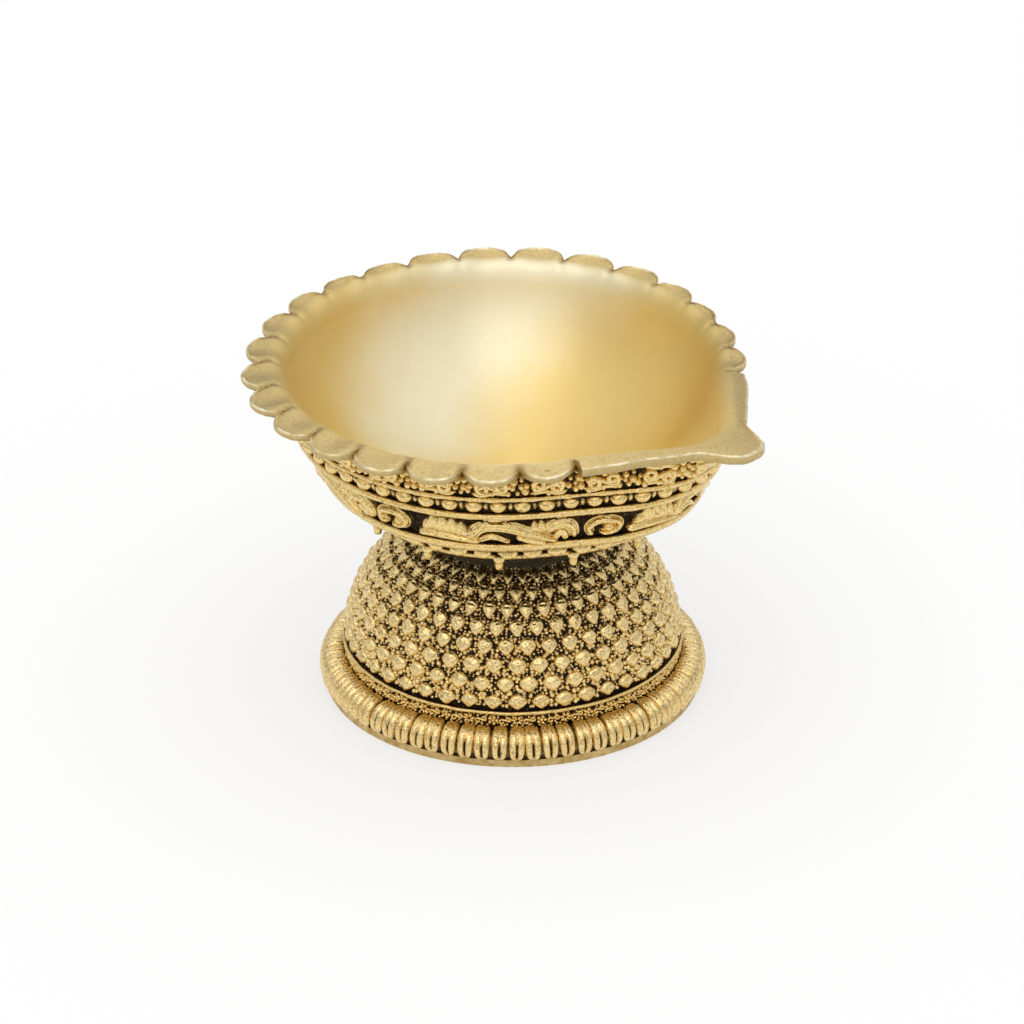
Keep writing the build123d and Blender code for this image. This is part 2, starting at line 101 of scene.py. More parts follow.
def leaf_reach(angle, radius, corner):
    """Distance from the round back's centre to the leaf outline: the circle round the back, the straight flank
    radius / cos(angle - slope) beside the spout, and the circle of the spout's corner at the front."""
    turn = from_spout(angle)
    middle = (radius - corner) / np.sin(HALF_SPOUT)
    corner_turn = np.arctan2(corner * np.cos(HALF_SPOUT), middle + corner * np.sin(HALF_SPOUT))
    flank = radius / np.cos(np.minimum(turn, SLOPE) - SLOPE)
    tip = middle * np.cos(turn) + np.sqrt(np.maximum(corner ** 2 - (middle * np.sin(turn)) ** 2, 0))
    return np.where(turn >= SLOPE, radius, np.where(turn > corner_turn, flank, tip))


def polar(angle, reach, height, centre=BOWL_X):
    """Points at an angle and reach about the bowl's axis, at a height."""
    angle, reach, height, centre = np.broadcast_arrays(angle, reach, height, centre)
    return np.stack([centre + reach * np.cos(angle), reach * np.sin(angle), height], -1)


def drawn_in(angle, height):
    """How far the cast bowl's wall is drawn in on one side: a squared cosine about that side, more lower down."""
    return np.interp(height, DRAWN_HEIGHTS, DRAWN_IN) * np.maximum(np.cos(angle - DRAWN_SIDE), 0) ** 2


def wall(angle, height):
    """Bowl's outer wall: the leaf outline whose radius and corner run straight between the band edges. Towards the
    collar the outline moves a little to the spout, and one side is drawn in."""
    radius = np.interp(height, BAND_EDGES, BAND_RADII)
    corner = np.interp(height, BAND_EDGES, BAND_CORNERS)
    centre = BOWL_X + WALL_LEAN * np.interp(height, [COLLAR, RIM_BOTTOM], [1, 0])
    return polar(angle, leaf_reach(angle, radius, corner) - drawn_in(angle, height), height, centre)


def run_along(height):
    """Lengths along the wall's outline at a height, from its start to each of the outline's angles."""
    steps = np.linalg.norm(np.diff(wall(OUTLINE_TURNS, height), axis=0), axis=1)
    return np.concatenate([[0], np.cumsum(steps)])


def on_wall(share, row, u, v, w):
    """Lays flat work on the bowl's wall: u runs along the row from a share of its length, v up the wall and
    w out along the normal, which is the cross product of the wall's two slopes. The wall is nearly upright, so a
    height is v times a steepness."""
    length = run_along(np.mean(row))
    share, row = (np.atleast_1d(x)[:, None, None] for x in (share, row))
    along = (share + np.asarray(u) / length[-1]) % 1
    turn = np.interp(along * length[-1], length, OUTLINE_TURNS)
    steep, near, reach = 0.97, 0.15, 30
    height = row + np.asarray(v) * steep
    turn, height = np.broadcast_arrays(turn, height)
    place = wall(turn, height)
    sideways = wall(turn + near / reach, height) - wall(turn - near / reach, height)
    upwards = wall(turn, height + near) - wall(turn, height - near)
    normal = np.cross(sideways, upwards)
    normal /= np.linalg.norm(normal, axis=-1, keepdims=True)
    return place + normal * np.broadcast_to(w, turn.shape)[..., None]


def on_dome(turn, rise, u, v, w):
    """Lays flat work on the foot's dome, whose section is one arc: u round it, v up the arc, w outwards."""
    turn, rise = (np.atleast_1d(x)[:, None, None] for x in (turn, rise))
    climb = rise + np.asarray(v) / DOME_RADIUS
    reach = DOME_X + DOME_RADIUS * np.cos(rise)
    angle = turn + np.asarray(u) / reach
    radius = DOME_X + (DOME_RADIUS + w) * np.cos(climb)
    return np.stack(np.broadcast_arrays(radius * np.cos(angle), radius * np.sin(angle),
                                        DOME_Z + (DOME_RADIUS + w) * np.sin(climb)), -1)


def on_skirt(turn, row, u, v, w):
    """Lays flat work on the upright skirt under the dome."""
    turn, row = (np.atleast_1d(x)[:, None, None] for x in (turn, row))
    angle = turn + np.asarray(u) / SKIRT
    return np.stack(np.broadcast_arrays((SKIRT + w) * np.cos(angle), (SKIRT + w) * np.sin(angle), row + v), -1)


def on_ring(turn, u, v, w):
    """Lays flat work on the round foot ring: u along the ring, v as an angle round its section, w outwards."""
    turn = np.atleast_1d(turn)[:, None, None]
    angle = turn + np.asarray(u) / (RING_X + RING_RADIUS)
    radius = RING_X + (RING_RADIUS + w) * np.cos(v)
    return np.stack(np.broadcast_arrays(radius * np.cos(angle), radius * np.sin(angle),
                                        RING_Z + (RING_RADIUS + w) * np.sin(v)), -1)


def knob(half_u, half_v, height, around=8, rings=(1, 0.8, 0.45, 0), pinch=2.0, tail=0.0, power=0.5):
    """Raised knob in a band's plane: a super-ellipse outline drawn in to its middle while it rises as
    (1 - q^2)^power. A pinch under 2 makes it a diamond, and the tail draws its foot to a point. Gives u, v, w
    and the relief from 0 to 1."""
    a = np.linspace(0, 2 * np.pi, around, endpoint=False) + np.pi / around * (pinch >= 2)
    q = np.array(rings, float)[:, None]
    edge = (np.abs(np.cos(a)) ** pinch + np.abs(np.sin(a)) ** pinch) ** (-1 / pinch)
    foot = 1 + tail * np.maximum(-np.sin(a), 0) ** 6
    u = half_u * q * edge * np.cos(a)
    v = half_v * q * edge * np.sin(a) * foot
    w = height * (1 - q ** 2) ** power + 0 * a
    return u, v, w, w / height


def section(across, groove):
    """Section of a raised stroke from -1 to 1: a flat dome (1 - q^4)^(1/2), with a groove beside each edge."""
    q = np.cos(np.linspace(np.pi, 0, across))
    dome = np.sqrt(1 - q ** 4)
    line = groove * np.exp(-((np.abs(q) - 0.57) / 0.18) ** 2)
    return q, dome * (1 - 0.4 * line), dome - 0.82 * line


def closing(count, taper):
    """Rounded closing of both ends: a quarter circle over the taper's share of the length."""
    t = np.linspace(0, 1, count)
    near = np.clip(np.minimum(t, 1 - t) / taper, 0, 1)
    return np.sqrt(near * (2 - near))


def stroke(path, half_width, height, across=7, taper=0.16, groove=0.0):
    """Raised stroke: a path in a band's plane, widened to both sides under the domed section."""
    ends = closing(len(path), taper)
    along = np.gradient(path, axis=0)
    along /= np.linalg.norm(along, axis=1, keepdims=True)
    q, dome, relief = section(across, groove)
    span = (half_width * ends)[:, None] * q
    u = path[:, :1] + along[:, 1:] * span
    v = path[:, 1:] - along[:, :1] * span
    return u, v, height * np.maximum(ends, 0.25)[:, None] * dome, relief + 0 * u


def slab(along, low, high, height, across=9, taper=0.08, groove=0.0):
    """Raised leaf: at each place along it the work spans from its lower to its upper edge under the domed
    section."""
    ends = closing(len(along), taper)
    q, dome, relief = section(across, groove)
    middle, half = (low + high) / 2, (high - low) / 2 * (0.3 + 0.7 * ends)
    v = middle[:, None] + half[:, None] * q
    return along[:, None] + 0 * v, v, height * np.maximum(ends, 0.25)[:, None] * dome, relief + 0 * v


def spiral(centre, start, turns, outer, inner, count=26):
    """Spiral path about a centre: the radius falls evenly from outer to inner over its turns."""
    angle = start + np.linspace(0, 2 * np.pi * turns, count)
    radius = np.linspace(outer, inner, count)
    return np.stack([centre[0] + radius * np.cos(angle), centre[1] + radius * np.sin(angle)], 1)


def srgb(text):
    """Linear colour of an sRGB hex value."""
    c = np.array([int(text[i:i + 2], 16) for i in (1, 3, 5)]) / 255
    c = np.where(c <= 0.04045, c / 12.92, ((c + 0.055) / 1.055) ** 2.4)
    return (*map(float, c), 1.0)


def add(tree, kind, inputs=None, out=0, stops=(), **settings):
    """Adds one shader node with its settings and gives one of its outputs. Inputs are values, or outputs of other
    nodes to link; stops are a colour ramp's (place, colour or level) pairs."""
    node = tree.nodes.new("ShaderNode" + kind)
    for key, value in settings.items():
        setattr(node, key, value)
    for key, value in (inputs or {}).items():
        if isinstance(value, bpy.types.NodeSocket):
            tree.links.new(value, node.inputs[key])
        else:
            node.inputs[key].default_value = value
    for _ in stops[2:]:
        node.color_ramp.elements.new(1.0)
    for i, (place, colour) in enumerate(stops):
        node.color_ramp.elements[i].position = place
        node.color_ramp.elements[i].color = srgb(colour) if isinstance(colour, str) else (colour, colour, colour, 1)
    return node.outputs[out]


def finish(name):
    """New material with its node tree, its shader and its object coordinates."""
    material = bpy.data.materials.new(name)
    material.use_nodes = True
    tree = material.node_tree
    return material, tree, tree.nodes["Principled BSDF"], add(tree, "TexCoord", out="Object")


def dress(tree, shader, colour, rough, height, strength, depth_mm=0.3):
    """Links a material's colour, roughness and bump to its shader."""
    normal = add(tree, "Bump", {"Height": height, "Strength": strength, "Distance": depth_mm * MM})
    for key, output in (("Base Color", colour), ("Roughness", rough), ("Normal", normal)):
        tree.links.new(output, shader.inputs[key])


def painted_glow_patch(tree, place, broad):
    """Painted reflection: a paler tint on the bowl's back wall standing in for the light it reflects, from 0 on that
    patch to 1 well away from it. The distance is in millimetres: aside of a line that leans with the height and
    wavers with a broad noise, below it, and in front of the wall."""
    leaning, downwards, forwards = (773.0, 635.0, -900.0), (0.0, 0.0, -300.0), (635.0, -773.0, 0.0)
    waver, line = 10.0, 44.5
    aside, below, front = (add(tree, "VectorMath", {0: place, 1: way}, "Value", operation="DOT_PRODUCT")
                           for way in (leaning, downwards, forwards))
    aside = add(tree, "Math", {0: broad, 1: waver, 2: aside}, operation="MULTIPLY_ADD")
    aside = add(tree, "Math", {0: aside, 1: line}, operation="ADD")
    aside = add(tree, "Math", {0: aside}, operation="ABSOLUTE")
    front = add(tree, "MapRange", {"Value": front, "From Min": -13.0, "From Max": 9.0, "To Max": 15.0})
    away = add(tree, "Math", {0: aside, 1: below}, operation="ADD")
    away = add(tree, "Math", {0: away, 1: front}, operation="ADD")
    return add(tree, "MapRange", {"Value": away, "From Min": -9.0, "From Max": 12.0}, interpolation_type="SMOOTHSTEP")


def satin_cast_gilt():
    """Gilt brass of the rim and the bowl's inside. The cast rim gives a pale, grainy gold with pits of 0.3 mm;
    inside, polishing round the bowl leaves marks along the rings, which draw the light out into a stripe across them.
    The back wall carries a painted reflection: its colour is a paler tint there than to both sides, standing in for
    the light it reflects. The dark wash stays in the grooves and on the rim's upright edge, where the relief
    attribute is low; above 1 the edge carries a painted highlight, broken in places."""
    material, tree, shader, place = finish("satin_cast_gilt")
    polish, relief = (add(tree, "Attribute", out="Fac", attribute_name=key) for key in ("polish", "relief"))
    broad, grain, pits, patchy = (
        add(tree, "TexNoise", {"Vector": place, "Scale": 1 / (size * MM), "Detail": detail, "Roughness": 0.55})
        for size, detail in ((12, 2), (0.5, 5), (0.9, 2), (2.2, 3)))
    cast = add(tree, "ValToRGB", {"Fac": grain}, stops=((0.3, "#CFB477"), (0.5, "#DBC388"), (0.7, "#E5D09B")))
    pitted = add(tree, "ValToRGB", {"Fac": pits}, stops=((0.68, 0.0), (0.76, 0.7)))
    cast = add(tree, "Mix", {"Factor": pitted, "A": cast, "B": srgb("#7A5E30")}, "Result", data_type="RGBA")
    # Painted reflection: the inside's colour is a pale cream on the back wall's patch and deeper gold to the sides
    satin = add(tree, "ValToRGB", {"Fac": painted_glow_patch(tree, place, broad)},
                stops=((0.0, "#F9F0D0"), (1.0, "#F0D58C")))
    colour = add(tree, "Mix", {"Factor": polish, "A": cast, "B": satin}, "Result", data_type="RGBA")
    colour = add(tree, "Mix", {"Factor": relief, "A": srgb("#7C5E2C"), "B": colour}, "Result", data_type="RGBA")
    # Painted highlight: where the relief rises above 1 on the rim's edge, the colour is mixed towards a pale cream,
    # broken into patches by noise
    edge = add(tree, "MapRange", {"Value": relief, "From Min": 1.0, "From Max": 1.5})
    painted_glint_breaks = add(tree, "ValToRGB", {"Fac": patchy}, stops=((0.38, 0.1), (0.6, 1.0)))
    edge = add(tree, "Math", {0: edge, 1: painted_glint_breaks}, operation="MULTIPLY")
    colour = add(tree, "Mix", {"Factor": edge, "A": colour, "B": srgb("#FBEFCB")}, "Result", data_type="RGBA")
    rough = add(tree, "Math", {0: grain, 1: 0.16, 2: 0.39}, operation="MULTIPLY_ADD")
    fade = add(tree, "MapRange", {"Value": polish, "To Min": 1.0, "To Max": 0.04})
    lift = add(tree, "Math", {0: grain, 1: fade}, operation="MULTIPLY")
    dress(tree, shader, colour, rough, lift, 0.25, 0.2)
    shader.inputs["Metallic"].default_value = 1.0
    shader.inputs["Anisotropic"].default_value = 0.85
    shader.inputs["Anisotropic Rotation"].default_value = 0.25
    tree.links.new(add(tree, "Tangent", direction_type="RADIAL", axis="Z"), shader.inputs["Tangent"])
    return material


def antique_gilt(name, low=0.0, high=0.32, bright="#F8DFA2", deep="#CDA65C", rough=0.21, grit=0.32, pits=0.67):
    """Gilt brass ornament with a dark wash: the wash stays in the hollows and casting pits as brown-black patina,
    and the gold is rubbed bright on what stands proud. The relief attribute says how far a point stands out of
    the ground."""
    material, tree, shader, place = finish(name)
    relief = add(tree, "Attribute", out="Fac", attribute_name="relief")
    grain, fine, coarse = (
        add(tree, "TexNoise", {"Vector": place, "Scale": 1 / (size * MM), "Detail": detail, "Roughness": gain})
        for size, detail, gain in ((0.9, 3, 0.55), (0.35, 4, 0.55), (1.1, 3, 0.6)))
    worn = add(tree, "Math", {0: grain, 1: 0.7, 2: relief}, operation="MULTIPLY_ADD")
    rubbed = add(tree, "MapRange", {"Value": worn, "From Min": low + 0.35, "From Max": high + 0.35},
                 interpolation_type="SMOOTHSTEP")
    sound = add(tree, "ValToRGB", {"Fac": coarse}, stops=((pits - 0.05, 1.0), (pits + 0.05, 0.35)))
    rubbed = add(tree, "Math", {0: rubbed, 1: sound}, operation="MULTIPLY")
    gold = add(tree, "ValToRGB", {"Fac": fine}, stops=((0.3, deep), (0.55, bright), (0.8, "#F6E3B4")))
    colour = add(tree, "Mix", {"Factor": rubbed, "A": srgb("#2B2011"), "B": gold}, "Result", data_type="RGBA")
    metal = add(tree, "MapRange", {"Value": rubbed, "To Min": 0.25, "To Max": 1.0})
    tree.links.new(metal, shader.inputs["Metallic"])
    shader.inputs["Specular IOR Level"].default_value = 0.15
    matt = add(tree, "MapRange", {"Value": fine, "To Min": rough - 0.1, "To Max": rough + 0.1})
    lift = add(tree, "Math", {0: coarse, 1: -1.6, 2: fine}, operation="MULTIPLY_ADD")
    dress(tree, shader, colour, matt, lift, grit)
    return material


def dark_ground():
    """Patina left in the ground behind the ornament: brown-black and matt, with rubbed gold specks. The plain ring
    at the top of the foot's dome, 26.4 to 28.6 mm up, never had the wash and is a dull grey brass."""
    material, tree, shader, place = finish("dark_ground")
    fine = add(tree, "TexNoise", {"Vector": place, "Scale": 1 / (0.5 * MM), "Detail": 4, "Roughness": 0.55})
    colour = add(tree, "ValToRGB", {"Fac": fine}, stops=((0.4, "#140C06"), (0.58, "#2C1D0F"), (0.72, "#8A672E")))
    span, ring = 60, ((25.92, 0.0), (26.4, 1.0), (28.62, 1.0), (28.98, 0.0))
    height = add(tree, "SeparateXYZ", {"Vector": place}, "Z")
    height = add(tree, "Math", {0: height, 1: 1 / (span * MM)}, operation="MULTIPLY")
    bare = add(tree, "ValToRGB", {"Fac": height}, stops=[(z / span, level) for z, level in ring])
    colour = add(tree, "Mix", {"Factor": bare, "A": colour, "B": srgb("#A39A74")}, "Result", data_type="RGBA")
    matt = add(tree, "MapRange", {"Value": fine, "To Min": 0.75, "To Max": 0.5})
    dress(tree, shader, colour, matt, fine, 0.7)
    shader.inputs["Metallic"].default_value = 0.2
    shader.inputs["Specular IOR Level"].default_value = 0.2
    return material


def plain_gilt(name, deep, bright, rough, size_mm):
    """Plain gilt or dulled brass: a blotchy tone between two golds and a fine matt grain."""
    material, tree, shader, place = finish(name)
    tone, fine = (add(tree, "TexNoise", {"Vector": place, "Scale": 1 / (size * MM), "Detail": 4, "Roughness": 0.55})
                  for size in (size_mm, 0.4))
    colour = add(tree, "ValToRGB", {"Fac": tone}, stops=((0.35, deep), (0.65, bright)))
    matt = add(tree, "MapRange", {"Value": fine, "To Min": rough - 0.1, "To Max": rough + 0.1})
    dress(tree, shader, colour, matt, fine, 0.4)
    shader.inputs["Metallic"].default_value = 1.0
    return material


GILT = satin_cast_gilt()
ANTIQUE = antique_gilt("antique_gilt", bright="#F6DA94", deep="#CBA358")
FOOT = antique_gilt("rubbed_antique_gilt")
WIRE = antique_gilt("rubbed_gilt_wire", low=-0.15, high=0.2, bright="#F6DA94", deep="#CBA358", rough=0.3, grit=0.35,
                    pits=0.68)
CORE = antique_gilt("washed_gilt_core", low=-0.15, high=0.5)
GROUND = dark_ground()
DULL = plain_gilt("dulled_brass", "#4A4433", "#6B6450", 0.55, 2.0)
EDGE = plain_gilt("matt_gilt_edge", "#B8995A", "#DCC28A", 0.48, 1.2)
TURNED = plain_gilt("turned_brass", "#A98848", "#C9A862", 0.35, 3.0)


def patch(points, material, relief=1.0, polish=0.0, ring=False):
    """Grids of points (copies, rows, columns), with their finish; ring joins the last column to the first."""
    points = np.asarray(points, float)
    points = points if points.ndim == 4 else points[None]
    shape = points.shape[:3]
    copies, rows, columns = shape
    index = np.arange(copies * rows * columns).reshape(shape)
    if ring:
        index = np.concatenate([index, index[:, :, :1]], 2)
    faces = np.stack([index[:, :-1, :-1], index[:, :-1, 1:], index[:, 1:, 1:], index[:, 1:, :-1]], -1)
    values = [np.broadcast_to(x, shape).ravel() for x in (relief, polish)]
    return points.reshape(-1, 3), faces.reshape(-1, 4), material, *values


def piece(name, nodes, patches, flip=False, sharp=120):
    """One piece from its patches: vertices in metres, quads, smooth shading, the relief and polish values, and
    poles and seams merged. It rides on the one body and stands for the CAD nodes."""
    offsets = np.cumsum([0] + [len(p[0]) for p in patches])[:-1]
    points = np.concatenate([p[0] for p in patches]) * MM
    faces = np.concatenate([p[1] + o for p, o in zip(patches, offsets)])
    faces = faces[:, ::-1] if flip else faces
    finishes = list(dict.fromkeys(p[2] for p in patches))
    mesh = bpy.data.meshes.new(name)
    mesh.vertices.add(len(points))
    mesh.vertices.foreach_set("co", points.ravel())
    mesh.loops.add(faces.size)
    mesh.loops.foreach_set("vertex_index", np.ascontiguousarray(faces).ravel())
    mesh.polygons.add(len(faces))
    mesh.polygons.foreach_set("loop_start", np.arange(0, faces.size, 4))
    mesh.polygons.foreach_set("use_smooth", np.ones(len(faces), bool))
    mesh.polygons.foreach_set("material_index",
                              np.concatenate([np.full(len(p[1]), finishes.index(p[2])) for p in patches]))
    for column, key in ((3, "relief"), (4, "polish")):
        values = mesh.attributes.new(key, "FLOAT", "POINT")
        values.data.foreach_set("value", np.concatenate([p[column] for p in patches]))
    mesh.update(calc_edges=True)
    shape = bmesh.new()
    shape.from_mesh(mesh)
    bmesh.ops.remove_doubles(shape, verts=shape.verts, dist=1e-7)
    shape.to_mesh(mesh)
    shape.free()
    mesh.set_sharp_from_angle(angle=math.radians(sharp))
    for material in finishes:
        mesh.materials.append(material)
    thing = bpy.data.objects.new(name, mesh)
    bpy.context.scene.collection.objects.link(thing)
    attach(thing, "root")
    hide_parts(*nodes)


def spout_edge():
    """Half of the spout's edge in polar form: the flank, the waist and the nose, with each corner a quadratic
    curve whose tangents are as long as a bend of that radius needs."""
    reach = FLANK / np.cos(SLOPE - LOBE_START)
    flank_end = (FLANK_END, (FLANK - (FLANK_END - BOWL_X) * np.sin(HALF_SPOUT)) / np.cos(HALF_SPOUT))
    flank_start = (BOWL_X + reach * np.cos(LOBE_START), reach * np.sin(LOBE_START))
    corners = np.array([flank_start, flank_end, WAIST, NOSE, (NOSE[0], 0.0)])
    bends = (8, 4, 3.6)
    t = np.linspace(0, 1, 12)[:, None]
    line = [corners[:1]]
    for before, corner, after, bend in zip(corners, corners[1:], corners[2:], bends):
        back, on = before - corner, after - corner
        back, on = back / np.linalg.norm(back), on / np.linalg.norm(on)
        turn = np.pi - np.arccos(back @ on)
        length = bend * np.tan(turn / 2)
        begin, end = corner + back * length, corner + on * length
        line.append((1 - t) ** 2 * begin + 2 * t * (1 - t) * corner + t ** 2 * end)
    line = np.concatenate(line + [corners[-1:]])
    return np.arctan2(line[:, 1], line[:, 0] - BOWL_X)[::-1], np.hypot(line[:, 0] - BOWL_X, line[:, 1])[::-1]


def rim_edge(angle):
    """Outer edge of the rim: circles of the lobes round the back, the spout's edge at the front. Also gives the
    place in the lobe, from -1 to 1, and 1 where there are lobes."""
    turn = from_spout(angle)
    pitch = LOBE_ARC / LOBES
    at = (angle % (2 * np.pi) - LOBE_START) / pitch
    place = np.clip((at - np.floor(at)) * 2 - 1, -1, 1)
    lean = place * pitch / 2
    lobe_turn = LOBE_START + (np.floor(at) + 0.5) * pitch
    middle = np.interp(lobe_turn, LOBE_TURNS, LOBE_REACHES) + 0.15 * lumps(np.floor(at) * 0.37, 3) - LOBE_RADIUS
    lobe = middle * np.cos(lean) + np.sqrt(np.maximum(LOBE_RADIUS ** 2 - (middle * np.sin(lean)) ** 2, 0))
    back = turn >= LOBE_START - 1e-9
    edge = np.where(back, np.maximum(lobe, NOTCH), np.interp(turn, *spout_edge()))
    return edge, np.where(back, place, 0.0), back * 1.0


def rim_angles():
    """Angles of the rim's columns: even steps in each lobe, closer steps towards the nose."""
    steps, nose_steps, closer = LOBES * 24, 132, 1.35
    lobes = LOBE_START + LOBE_ARC * np.arange(steps) / steps
    side = np.linspace(-1, 1, nose_steps, endpoint=False)
    nose = LOBE_START * np.sign(side) * np.abs(side) ** closer
    return np.concatenate([lobes, nose + 2 * np.pi])


ANGLES = np.concatenate([rim_angles(), rim_angles()[:1] + 2 * np.pi])
LOW_TURN = math.acos((RIM_TOP - MOUTH_LOW) / (RIM_TOP - CUP_FLOOR))


def cup_row(turn):
    """One ring of the bowl's inside, on the quarter ellipse from its floor to its mouth. Its corner is rounded less
    than the outer wall's, and it is drawn in a little less."""
    inset, follow = 2.0, 0.7
    radius = CUP_FLOOR_RADIUS + (MOUTH - CUP_FLOOR_RADIUS) * np.sin(turn)
    height = RIM_TOP - (RIM_TOP - CUP_FLOOR) * np.cos(turn)
    corner = np.interp(max(height, COLLAR), BAND_EDGES, BAND_CORNERS) - inset
    reach = leaf_reach(ANGLES, radius, min(corner, 0.9 * radius)) - follow * np.sin(turn) * drawn_in(ANGLES, height)
    return polar(ANGLES, reach, height, BOWL_X * np.sin(turn))


def scalloped_rim():
    """Rim: a ring of section rows carried round the leaf. From the bowl's inside it rolls over along a
    quadratic curve that starts on the wall's own slope and ends level, runs out over the top, turns sharply over
    the edge and goes back under. Each lobe is dished and falls to its edge by the square, with a fine burr along
    that edge; a groove parts it from the next. The rim came out of its mould lower on one side, where the lobes
    also droop more."""
    swell, full_reach, groove_width, groove_depth, dish, rounding = 0.25, 3.0, 0.16, 0.2, 0.35, 0.2
    edge, place, lobed = rim_edge(ANGLES)
    low_side = 0.5 + 0.5 * np.cos(ANGLES - LOW_SIDE)
    edge = edge + swell * lobed * low_side
    full = lobed * np.clip((edge - NOTCH) / full_reach, 0, 1)
    wave = lobed * (0.5 + 0.5 * np.cos(place * np.pi))
    groove = lobed * np.exp(-((1 - np.abs(place)) / groove_width) ** 2)
    first = cup_row(LOW_TURN)
    start = np.hypot(first[:, 0] - BOWL_X, first[:, 1])
    crest_out, crest_corner, crest_room = 2.2, 10.7, 0.7
    crest = np.minimum(leaf_reach(ANGLES, MOUTH + crest_out, crest_corner), edge - crest_room)
    low = low_side * (0.3 + 0.7 * ease(0.2, 0.9, from_spout(ANGLES)))
    crest_height = RIM_TOP - LOW_BY * low - dish * wave - groove_depth * groove + lumps(ANGLES, 5, 0.10)
    lean = (MOUTH - CUP_FLOOR_RADIUS) / (RIM_TOP - CUP_FLOOR) / np.tan(LOW_TURN)
    bend = start + lean * (crest_height - MOUTH_LOW)
    rows = []
    for t in np.linspace(0, 1, 14) ** 1.6:
        rows.append(polar(ANGLES, (1 - t) ** 2 * start + 2 * t * (1 - t) * bend + t ** 2 * crest,
                          MOUTH_LOW + (crest_height - MOUTH_LOW) * (1 - (1 - t) ** 2)))

    def top(share):
        """Height of the rim's top at a share of the way from its crest to its edge."""
        burr = (0.28 + lumps(5 * ANGLES, 6, 0.12)) * np.exp(-((share - 0.97) / 0.06) ** 2)
        fall = full * (0.2 + 1.0 * low) + (1 - lobed) * (0.1 + 1.3 * low)
        hollow = 0.3 * wave * np.sin(np.pi * share) + 0.35 * groove * share
        return crest_height + dish * wave * share - fall * share ** 2 - hollow + burr

    inner_edge = edge - rounding
    for share in (0.1, 0.22, 0.35, 0.48, 0.6, 0.72, 0.82, 0.89, 0.94, 0.97, 1):
        rows.append(polar(ANGLES, crest + (inner_edge - crest) * share, top(share)))
    lip = top(1.0)
    thick = 1.45 - 0.45 * full
    for a in np.radians([25, 50, 72, 90]):
        rows.append(polar(ANGLES, inner_edge + rounding * np.sin(a), lip - rounding * (1 - np.cos(a))))
    rows.append(polar(ANGLES, edge - 0.03, lip - 0.75 * thick))
    rows.append(polar(ANGLES, edge - 0.25, lip - thick))
    under = np.minimum(leaf_reach(ANGLES, 35.5, 10.4), edge - 0.6)
    rows.append(polar(ANGLES, under, RIM_BOTTOM - 0.02 - LOW_BY * low))
    rows.append(polar(ANGLES, leaf_reach(ANGLES, 34.4, 9.2), RIM_BOTTOM - 0.7))
    rows.append(rows[0])
    rows = np.stack(rows)
    polish = 1 - ease(9, 16, np.arange(len(rows)))
    polish[-1] = 1
    relief = np.ones(rows.shape[:2])
    top_rows, painted_highlight_rows, under_rows = slice(12, 26), slice(22, 28), slice(-5, -1)
    relief[top_rows] -= 0.45 * groove
    # Relief above 1 on these rows paints a highlight along the rim's edge
    relief[painted_highlight_rows] += 0.5 * np.maximum(full, 1 - lobed)
    relief[under_rows] = 0.2 + 0.62 * np.maximum(full, 1 - lobed)
    piece("rim_of_lobes", ["scalloped_rim"], [patch(rows, GILT, relief, polish[:, None])], flip=True,
          sharp=40)


def bowl_cup():
    """Bowl: the inside from the middle of its floor up to the mouth, then down the outer wall with its bands
    and in along a quarter ellipse to the neck and the middle of its underside."""
    inside = [polar(ANGLES, leaf_reach(ANGLES, CUP_FLOOR_RADIUS, 0.9 * CUP_FLOOR_RADIUS) * s, CUP_FLOOR, 0.0)
              for s in (0, 0.35, 0.7)]
    inside += [cup_row(t) for t in LOW_TURN * (1 - np.linspace(1, 0, 34) ** 1.8)]
    outside = [inside[-1]]
    heights = (53.88, 52.5, 51, 49.2, 47.5, 46, 44.9, 44.4, 42.5, 40.7, 39, 37.5, 36, COLLAR)
    outside += [wall(ANGLES, z) for z in heights]
    for turn in np.radians([72, 54, 36, 18, 0]):
        radius = NECK + (BAND_RADII[0] - NECK) * np.sin(turn)
        corner = min(BAND_CORNERS[0], 0.9 * radius)
        reach = leaf_reach(ANGLES, radius, corner) - np.sin(turn) * drawn_in(ANGLES, COLLAR)
        outside.append(polar(ANGLES, reach, BOWL_BOTTOM + (COLLAR - BOWL_BOTTOM) * (1 - np.cos(turn)),
                             (BOWL_X + WALL_LEAN) * np.sin(turn)))
    outside.append(polar(ANGLES, 0.0, BOWL_BOTTOM, 0.0))
    piece("bowl_cup", ["bowl_shell"],
          [patch(np.stack(inside), GILT, 1.0, 1.0), patch(np.stack(outside), GROUND, 1.0, 1.0)], flip=True, sharp=40)


def wall_wire(name, node, height, radius, seed, uneven=0.1):
    """Wire round the bowl: a circle carried along the wall's outline, a little uneven in thickness."""
    share = np.linspace(0, 1, 420, endpoint=False)
    around = np.linspace(0, 2 * np.pi, 10, endpoint=False)[:, None]
    thick = radius * (1 + lumps(share * 2 * np.pi, seed, uneven) + lumps(share * 14 * np.pi, seed + 1, uneven))
    clear = 0.02
    w = radius + clear + thick * np.cos(around)
    points = on_wall(0.0, height, share * run_along(height)[-1], thick * np.sin(around), w)
    relief = 0.5 + 0.5 * np.cos(around)
    closed, closed_relief = np.concatenate([points, points[:, :1]], 1), np.concatenate([relief, relief[:1]])
    piece(name, [node], [patch(closed, WIRE, closed_relief, ring=True)])


def raised(lay, shares, rows, work, ring=False):
    """Copies of one flat piece of ornament (u, v, w, relief), laid on the lamp and sunk a little into its ground."""
    sink = 0.08
    u, v, w, relief = work
    return patch(lay(shares, rows, u, v, w - sink), ANTIQUE, relief, ring=ring)


